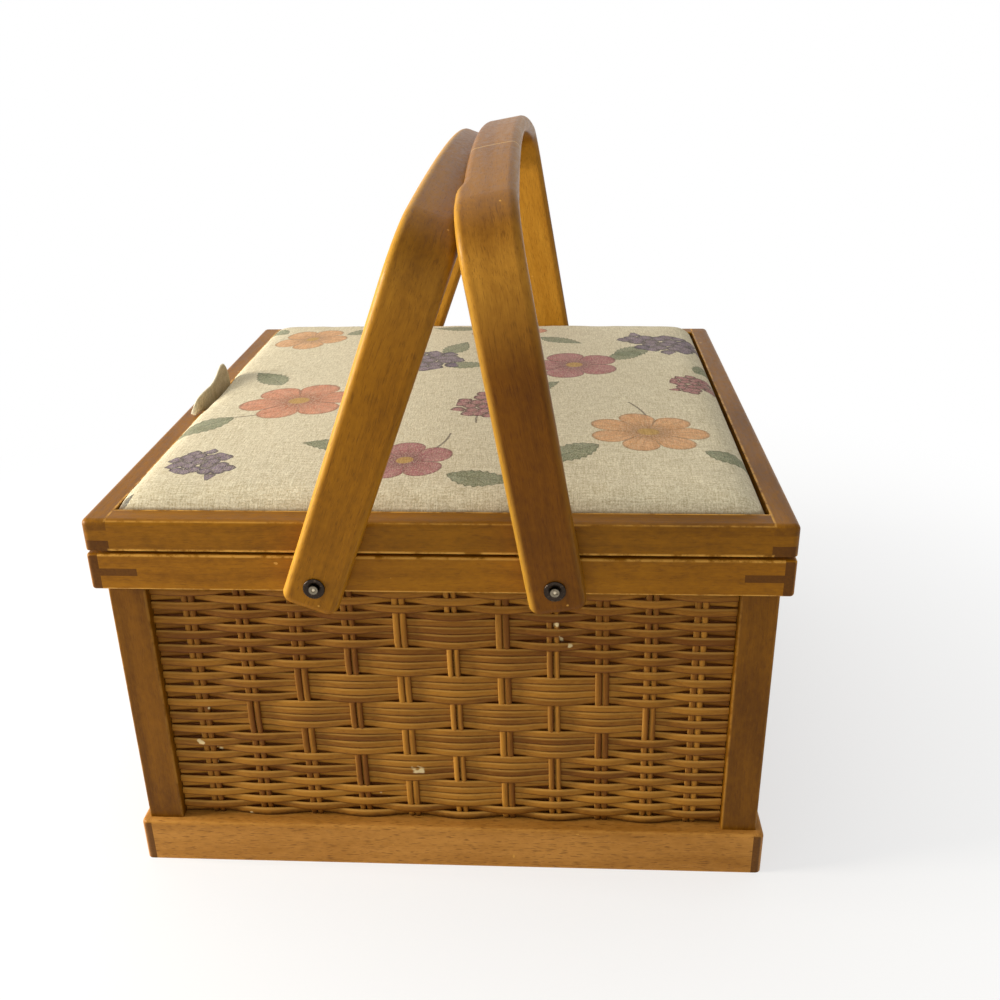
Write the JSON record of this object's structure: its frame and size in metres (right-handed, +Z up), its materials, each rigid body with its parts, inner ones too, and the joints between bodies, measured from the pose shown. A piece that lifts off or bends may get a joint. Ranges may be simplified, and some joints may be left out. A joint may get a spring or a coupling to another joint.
{
  "type": "sewing carrier",
  "caption": "Woven box on a timber frame with a hinged frame lid, a padded inner lid lifted by a tab, and two folding arched carrying handles.",
  "frame": {"origin": "centre of the underside, on the surface the box stands on", "axes": "+X along the front face from the left side to the hinge side, +Y from the front to the back, +Z up"},
  "size_m": [0.3047, 0.3348, 0.3283],
  "materials": {
    "frame_wood": "semi-gloss honey lacquer",
    "handle_wood": "semi-gloss honey lacquer on bent beech",
    "post_wood": "semi-gloss honey lacquer",
    "dowel_wood": "bare wood",
    "rattan_stakes": "round reed, lacquered",
    "rattan_strands": "flat reed, lacquered",
    "lining_board": "dark board behind the weave",
    "floor_panel": "thin plywood",
    "pad_panel": "thin plywood",
    "print_cotton": "printed cotton over soft filling",
    "tab_cotton": "folded printed cotton",
    "black_washer": "black",
    "spacer_fibre": "black",
    "rivet_steel": "nickel plated",
    "hinge_brass": "plated",
    "felt": "felt"
  },
  "bodies": {
    "basket": {"base_front": "frame_wood", "base_back": "frame_wood", "base_left": "frame_wood", "base_right": "frame_wood", "rim_front": "frame_wood", "rim_back": "frame_wood", "rim_left": "frame_wood", "rim_right": "frame_wood", "post_left_front": "post_wood", "post_left_back": "post_wood", "post_right_front": "post_wood", "post_right_back": "post_wood", "post_dowels": "dowel_wood", "stakes_front": "rattan_stakes", "strands_front": "rattan_strands", "wall_board_front": "lining_board", "stakes_right": "rattan_stakes", "strands_right": "rattan_strands", "wall_board_right": "lining_board", "stakes_back": "rattan_stakes", "strands_back": "rattan_strands", "wall_board_back": "lining_board", "stakes_left": "rattan_stakes", "strands_left": "rattan_strands", "wall_board_left": "lining_board", "floor_board": "floor_panel", "handle_washers": "black_washer", "handle_spacers": "spacer_fibre", "handle_rivets": "rivet_steel", "rim_hinge_leaves": "hinge_brass", "rim_hinge_screws": "hinge_brass", "lid_hinge_pins": "rivet_steel", "lid_bumpers": "felt"},
    "frame_lid": {"lid_front": "frame_wood", "lid_back": "frame_wood", "lid_left": "frame_wood", "lid_right": "frame_wood", "ledge_left": "frame_wood", "ledge_front": "frame_wood", "ledge_back": "frame_wood", "lid_hinge_leaves": "hinge_brass", "lid_hinge_screws": "hinge_brass", "pad_pivot_pins": "rivet_steel"},
    "padded_lid": {"pad_board": "pad_panel", "pad_cushion": "print_cotton", "pull_tab": "tab_cotton"},
    "handle_left": {"handle_left": "handle_wood"},
    "handle_right": {"handle_right": "handle_wood"}
  },
  "joints": [
    {"name": "lid_hinge", "type": "hinge", "parent": "basket", "child": "frame_lid", "pos_m": [0.1524, 0, 0.1682], "axis": [0, 1, 0], "range_deg": [0, 22]},
    {"name": "padded_lid_hinge", "type": "hinge", "parent": "frame_lid", "child": "padded_lid", "pos_m": [0.1344, 0, 0.1761], "axis": [0, 1, 0], "range_deg": [0, 10]},
    {"name": "left_handle_pivot", "type": "hinge", "parent": "basket", "child": "handle_left", "pos_m": [-0.05, 0, 0.1578], "axis": [0, -1, 0], "range_deg": [0, 149]},
    {"name": "right_handle_pivot", "type": "hinge", "parent": "basket", "child": "handle_right", "pos_m": [0.05, 0, 0.1578], "axis": [0, 1, 0], "range_deg": [0, 139]}
  ]
}
